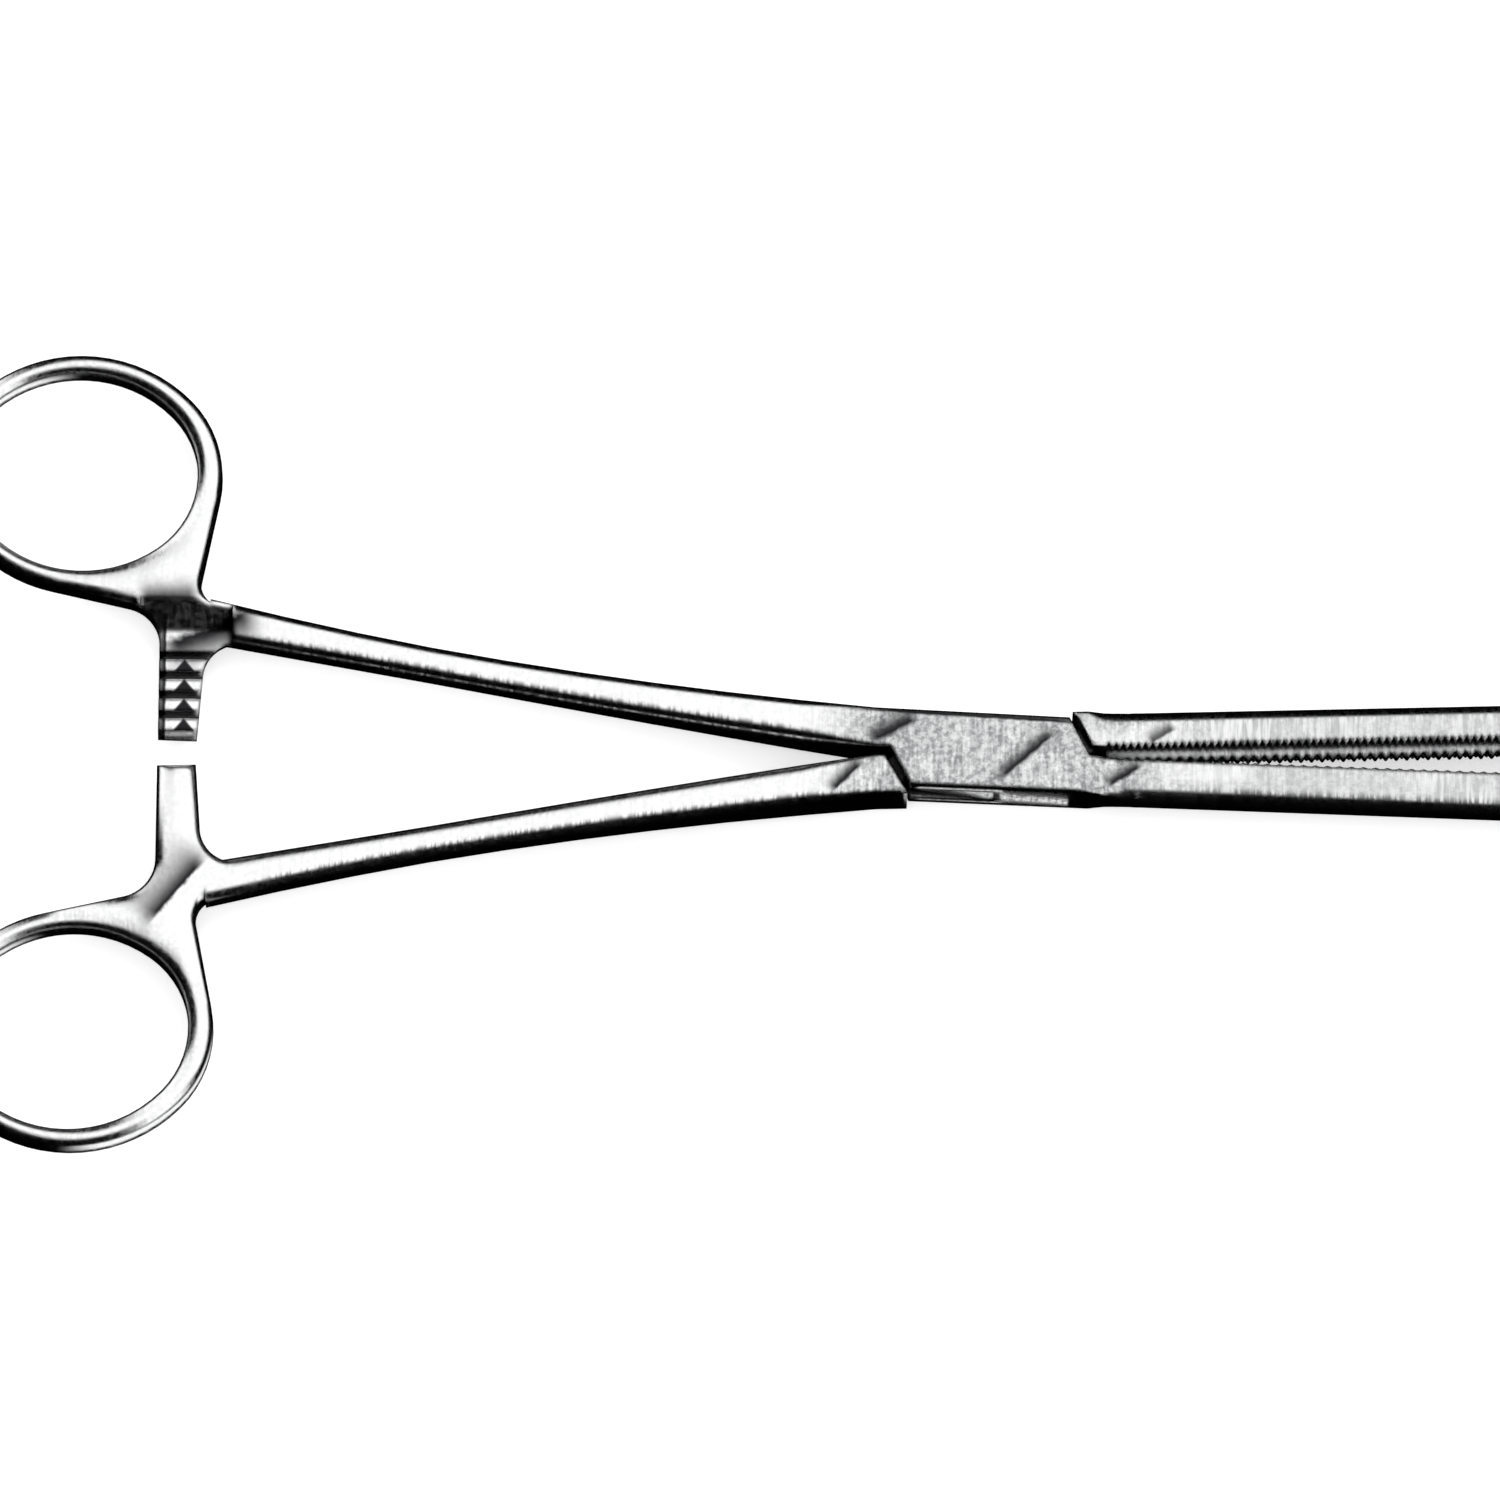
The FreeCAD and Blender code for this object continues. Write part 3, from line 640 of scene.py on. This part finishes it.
@dataclass
class Clamp:
    """The whole clamp: two crossing halves and the pin that holds them.

    The angles are in degrees and the weld is in millimetres.
    """

    crease: float = 32.0
    ratchet_slope: float = 29.8
    slope_margin: float = 3.0
    weld: float = 0.002

    def pieces(self) -> list[SteelPiece]:
        """Lists the clamp's pieces.

        Returns:
            Each piece with its finish.
        """
        # Painted light: the pale streak is a painted highlight, and the dark ones paint
        # reflections on the box and jaws and shade on the web by the ratchet.
        box_streaks = (
            Streak(22.0, -1.2, 1.9, 5.0, 0.0, 0.5, pale=True),
            Streak(-9.9, 2.8, 1.4, 2.9, 28.0, 1.0),
            Streak(3.4, -0.1, 0.95, 4.2, 42.0, 1.0),
            Streak(13.2, -1.8, 0.9, 2.3, 34.0, 1.0),
            Streak(-82.3, 16.5, 1.4, 3.2, 2.0, 0.9),
            Streak(-77.8, 11.4, 2.4, 5.4, 199.0, 1.0),
            Streak(-82.9, 7.2, 0.55, 9.0, 90.0, 1.0),
            Streak(-1.4, 3.9, 0.6, 13.0, -3.2, 1.0),
        )
        # Painted light: the pale streak is a painted highlight, the next dark ones paint
        # reflections, and the last two paint the shade along the web's crease.
        tenon_streaks = (
            Streak(13.0, 1.8, 1.9, 7.0, 0.0, 0.7, pale=True),
            Streak(-14.6, -2.4, 0.9, 2.3, 45.0, 1.0),
            Streak(17.0, 2.5, 0.9, 1.6, 32.0, 0.9),
            Streak(-82.4, -13.4, 2.3, 5.0, 51.0, 0.65),
            Streak(-81.4, -14.4, 0.9, 4.6, 51.0, 1.0),
        )
        return [
            SteelPiece("box_half", SteelFinish("box_half_steel", streaks=box_streaks,
                                               peak_shade=ToothMarks())),
            SteelPiece("tenon_half", SteelFinish("tenon_half_steel", streaks=tenon_streaks)),
            SteelPiece("lock_pin", SteelFinish("lock_pin_steel", edge_reach=0.05)),
        ]

    def build(self, frame: dict) -> None:
        """Dresses every piece.

        Args:
            frame: The loaded frame.
        """
        ground_grain()
        soft_edges_painted_shade()
        painted_light_streak()
        tooth_peak_shade()
        smoothing = smooth_tangents(self.crease, self.ratchet_slope, self.slope_margin,
                                    self.weld)
        for piece in self.pieces():
            piece.dress(frame, smoothing)


# Studio


@dataclass(frozen=True)
class Rim:
    """An oval that a card is cut along, in millimetres.

    The gap lies within it where side is -1, and round it where side is 1. Its soft edge is a share
    of the oval's square.
    """

    x: float
    y: float
    half_x: float
    half_y: float
    side: int
    soft: float = 0.03


@dataclass(frozen=True)
class CardGap:
    """A soft-edged white gap in the black card, in millimetres."""

    left: float
    right: float
    low: float
    high: float
    soft: float
    rim: Rim | None = None

    def mask(self, sheet: Sheet, place: bpy.types.Node) -> bpy.types.NodeSocket:
        """Draws the gap.

        Args:
            sheet: The card material's sheet.
            place: The node that splits the place on the card.

        Returns:
            1 in the gap, 0 on the black.
        """
        gap = 1.0
        for axis, start, sign in (("X", self.left, 1), ("X", self.right, -1),
                                  ("Y", self.low, 1), ("Y", self.high, -1)):
            inner = (start + sign * self.soft) * MM
            gap = sheet.sum("MULTIPLY", sheet.fade(place.outputs[axis], start * MM, inner), gap)
        if self.rim is None:
            return gap
        square = 0.0
        for axis, middle, half in (("X", self.rim.x, self.rim.half_x),
                                   ("Y", self.rim.y, self.rim.half_y)):
            off = sheet.sum("SUBTRACT", place.outputs[axis], middle * MM)
            off = sheet.sum("DIVIDE", off, half * MM)
            square = sheet.sum("ADD", sheet.sum("MULTIPLY", off, off), square)
        past = sheet.sum("MULTIPLY", sheet.sum("SUBTRACT", square, 1.0), float(self.rim.side))
        return sheet.sum("MULTIPLY", gap, sheet.fade(past, 0.0, self.rim.soft))


@dataclass
class Studio:
    """Pale floor, white surroundings, a soft lamp, and a tent and a card that the steel reflects.

    The dark pairs are heights over the horizon in degrees, on the clamp's four sides: the tent is
    black up to the first and white from the second. The card's gap is in millimetres, and the
    other lengths are in metres.
    """

    floor_size: float = 60.0
    floor_colour: tuple[float, float, float, float] = (0.93, 0.93, 0.93, 1.0)
    floor_lift: float = 0.55
    fill: float = 0.85
    key_watts: float = 5.0
    tent_radius: float = 1.0
    tent_glow: float = 1.1
    near_dark: tuple[float, float] = (58.0, 78.0)
    far_dark: tuple[float, float] = (28.0, 40.0)
    ring_side_dark: tuple[float, float] = (70.0, 81.0)
    tip_side_dark: tuple[float, float] = (18.0, 32.0)
    window_edge: tuple[float, float] = (0.93, 0.98)
    tent_steps: int = 4
    key_place: tuple[float, float, float] = (0.35, 0.75, 1.0)
    key_size: float = 0.9
    card_size: float = 2.0
    card_gap: float = 0.03
    card_gaps: tuple[CardGap, ...] = (
        CardGap(-120.0, -91.5, 28.0, 52.0, 4.0, Rim(-91.3, 28.9, 10.9, 9.45, -1)),
        CardGap(-120.0, -93.5, -29.0, -8.0, 4.0, Rim(-91.3, -28.9, 10.9, 9.45, -1)),
        CardGap(-93.0, -70.0, -60.0, -27.0, 6.0, Rim(-91.1, -28.9, 14.8, 13.1, 1)),
        CardGap(-7.5, 8.0, -5.3, -4.4, 0.3),
        CardGap(-7.2, 1.4, -6.3, -5.0, 0.3),
    )

    def seen(self, sheet: Sheet) -> bpy.types.NodeSocket:
        """Tells the rays that look from those that light.

        Args:
            sheet: The material's or the world's sheet.

        Returns:
            1 for what the camera sees, straight, in gloss or through glass, and 0 for the rest.
        """
        rays = sheet.add("ShaderNodeLightPath")
        straight = sheet.sum("MAXIMUM", rays.outputs["Is Camera Ray"],
                             rays.outputs["Is Glossy Ray"])
        return sheet.sum("MAXIMUM", straight, rays.outputs["Is Transmission Ray"])

    def white_world(self) -> None:
        """Makes the surroundings white to the camera and to reflections, and a soft fill."""
        world = bpy.data.worlds.new("surroundings")
        world.use_nodes = True
        world.node_tree.nodes.clear()
        sheet = Sheet(world.node_tree)
        level = sheet.fade(self.seen(sheet), 0.0, 1.0, self.fill, 1.0)
        light = sheet.feed(sheet.add("ShaderNodeBackground"), Color=(1, 1, 1, 1), Strength=level)
        sheet.feed(sheet.add("ShaderNodeOutputWorld"), Surface=light.outputs[0])
        bpy.context.scene.world = world

    def plain(self, name: str, colour: tuple[float, float, float, float],
              lift: float) -> bpy.types.Material:
        """Builds a matt stage material.

        Args:
            name: The material's name.
            colour: Its colour.
            lift: How much is added to what the camera and reflections see of it.

        Returns:
            The new material.
        """
        material = bpy.data.materials.new(name)
        material.use_nodes = True
        material.node_tree.nodes.clear()
        sheet = Sheet(material.node_tree)
        matt = sheet.feed(sheet.add("ShaderNodeBsdfPrincipled"), Base_Color=colour,
                          Roughness=1.0, Specular_IOR_Level=0.0)
        sheet.feed(matt, Emission_Color=(1, 1, 1, 1),
                   Emission_Strength=sheet.sum("MULTIPLY", self.seen(sheet), lift))
        sheet.feed(sheet.add("ShaderNodeOutputMaterial"), Surface=matt.outputs[0])
        return material

    def card(self, name: str, corners: list[Vector], material: bpy.types.Material,
             reach: Reach) -> bpy.types.Object:
        """Puts up a flat card.

        Args:
            name: The card's name.
            corners: Its corners, in order round it.
            material: What it is made of.
            reach: Whether it is seen, or only reflected in the steel.

        Returns:
            The card.
        """
        mesh = bpy.data.meshes.new(name)
        mesh.from_pydata(corners, [], [tuple(range(len(corners)))])
        mesh.materials.append(material)
        card = bpy.data.objects.new(name, mesh)
        bpy.context.scene.collection.objects.link(card)
        if reach is Reach.REFLECTED:
            self.reflected_only(card)
        return card

    def flat(self, size: float, height: float) -> list[Vector]:
        """The corners of a level square about the origin."""
        return [Vector((side_x * size / 2, side_y * size / 2, height))
                for side_x, side_y in ((-1, -1), (1, -1), (1, 1), (-1, 1))]

    def gapped_black(self) -> bpy.types.Material:
        """Builds the black card's material, with white gaps beside parts of the rings.

        Returns:
            The new material.
        """
        material = bpy.data.materials.new("black_card")
        material.use_nodes = True
        material.node_tree.nodes.clear()
        sheet = Sheet(material.node_tree)
        place = sheet.add("ShaderNodeTexCoord").outputs["Object"]
        split = sheet.feed(sheet.add("ShaderNodeSeparateXYZ"), Vector=place)
        level = 0.0
        for gap in self.card_gaps:
            level = sheet.sum("MAXIMUM", gap.mask(sheet, split), level)
        glow = sheet.feed(sheet.add("ShaderNodeEmission"), Color=(1, 1, 1, 1), Strength=level)
        sheet.feed(sheet.add("ShaderNodeOutputMaterial"), Surface=glow.outputs[0])
        return material

    def tent(self) -> None:
        """Puts a light tent over the clamp: white overhead and dark round its foot.

        Two white windows stand at opposite corners. Only the steel's reflections show the tent.
        """
        mesh = bpy.data.meshes.new("tent")
        form = bmesh.new()
        bmesh.ops.create_icosphere(form, subdivisions=self.tent_steps, radius=self.tent_radius)
        form.to_mesh(mesh)
        form.free()
        material = bpy.data.materials.new("tent_cloth")
        material.use_nodes = True
        material.node_tree.nodes.clear()
        sheet = Sheet(material.node_tree)
        place = sheet.add("ShaderNodeTexCoord").outputs["Object"]
        split = sheet.feed(sheet.add("ShaderNodeSeparateXYZ"), Vector=place)
        sides = (
            (split.outputs["Y"], -1.0, self.near_dark),
            (split.outputs["Y"], 1.0, self.far_dark),
            (split.outputs["X"], -1.0, self.ring_side_dark),
            (split.outputs["X"], 1.0, self.tip_side_dark),
        )
        level = 1.0
        for away, sign, (dark_to, white_from) in sides:
            rise = sheet.sum("ARCTAN2", split.outputs["Z"], sheet.sum("MULTIPLY", away, sign))
            opened = sheet.fade(rise, math.radians(dark_to), math.radians(white_from))
            level = sheet.sum("MULTIPLY", opened, level)
        flat = sheet.sum("SQRT", sheet.sum("ADD", sheet.sum("POWER", split.outputs["X"], 2.0),
                                           sheet.sum("POWER", split.outputs["Y"], 2.0)))
        across = sheet.sum("SUBTRACT", split.outputs["X"], split.outputs["Y"])
        turned = sheet.sum("DIVIDE", sheet.sum("ABSOLUTE", across),
                           sheet.sum("MULTIPLY", flat, math.sqrt(2.0)))
        window = sheet.fade(turned, *self.window_edge)
        level = sheet.sum("MAXIMUM", level, window)
        level = sheet.sum("MULTIPLY", level, self.tent_glow)
        glow = sheet.feed(sheet.add("ShaderNodeEmission"), Color=(1, 1, 1, 1), Strength=level)
        sheet.feed(sheet.add("ShaderNodeOutputMaterial"), Surface=glow.outputs[0])
        mesh.materials.append(material)
        tent = bpy.data.objects.new("tent", mesh)
        bpy.context.scene.collection.objects.link(tent)
        self.reflected_only(tent)

    def reflected_only(self, card: bpy.types.Object) -> None:
        """Leaves a card to the steel's reflections alone.

        Args:
            card: The card or the tent.
        """
        card.visible_camera = False
        card.visible_diffuse = False
        card.visible_transmission = False
        card.visible_shadow = False

    def lamp(self, name: str, place: Vector, size: float, watts: float) -> None:
        """Hangs a square soft lamp that faces the clamp.

        Args:
            name: The lamp's name.
            place: Where it hangs.
            size: Its side.
            watts: Its power.
        """
        light = bpy.data.lights.new(name, "AREA")
        light.size = size
        light.energy = watts
        lamp = bpy.data.objects.new(name, light)
        lamp.location = place
        lamp.rotation_euler = (-place).to_track_quat("-Z", "Y").to_euler()
        lamp.visible_glossy = False
        bpy.context.scene.collection.objects.link(lamp)

    def build(self) -> None:
        """Sets up the floor, the surroundings, the card, the tent and the lamp."""
        self.white_world()
        pale = self.plain("pale_floor", self.floor_colour, self.floor_lift)
        self.card("floor", self.flat(self.floor_size, 0.0), pale, Reach.SEEN)
        self.card("card_below", self.flat(self.card_size, self.card_gap * MM),
                  self.gapped_black(), Reach.REFLECTED)
        self.tent()
        self.lamp("key_lamp", Vector(self.key_place), self.key_size, self.key_watts)


@dataclass
class Viewpoint:
    """The camera at the photograph's angle.

    The angles are in degrees, and the lengths in millimetres. The frame's middle lies middle_right
    and middle_up from the pin's, as the camera sees them.
    """

    elevation: float = 74.0
    roll: float = 0.45
    lens: float = 400.0
    sensor: float = 36.0
    frame_width: float = 150.0
    pivot_height: float = 3.2
    middle_right: float = -23.9
    middle_up: float = 0.93
    nearest: float = 50.0
    farthest: float = 100000.0

    def build(self) -> None:
        """Sets up the camera and makes it the scene's own."""
        tilt = math.radians(self.elevation)
        turn = math.radians(self.roll)
        back = Vector((0, -math.cos(tilt), math.sin(tilt)))
        level_right = Vector((1, 0, 0))
        level_up = Vector((0, math.sin(tilt), math.cos(tilt)))
        right = level_right * math.cos(turn) + level_up * math.sin(turn)
        up = level_up * math.cos(turn) - level_right * math.sin(turn)
        target = (Vector((0, 0, self.pivot_height)) + right * self.middle_right
                  + up * self.middle_up) * MM
        distance = self.lens / self.sensor * self.frame_width * MM
        data = bpy.data.cameras.new("viewpoint")
        data.lens = self.lens
        data.sensor_width = self.sensor
        data.clip_start = self.nearest * MM
        data.clip_end = self.farthest * MM
        camera = bpy.data.objects.new("viewpoint", data)
        turned = Matrix((right, up, back)).transposed()
        camera.matrix_world = Matrix.Translation(target + back * distance) @ turned.to_4x4()
        bpy.context.scene.collection.objects.link(camera)
        bpy.context.scene.camera = camera


def main() -> None:
    """Loads the frame, dresses the clamp and sets up the studio."""
    logging.basicConfig(level=logging.INFO)
    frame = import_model()
    Clamp().build(frame)
    Studio().build()
    Viewpoint().build()
    bpy.context.scene.view_settings.view_transform = "Standard"


if __name__ == "__main__":
    main()
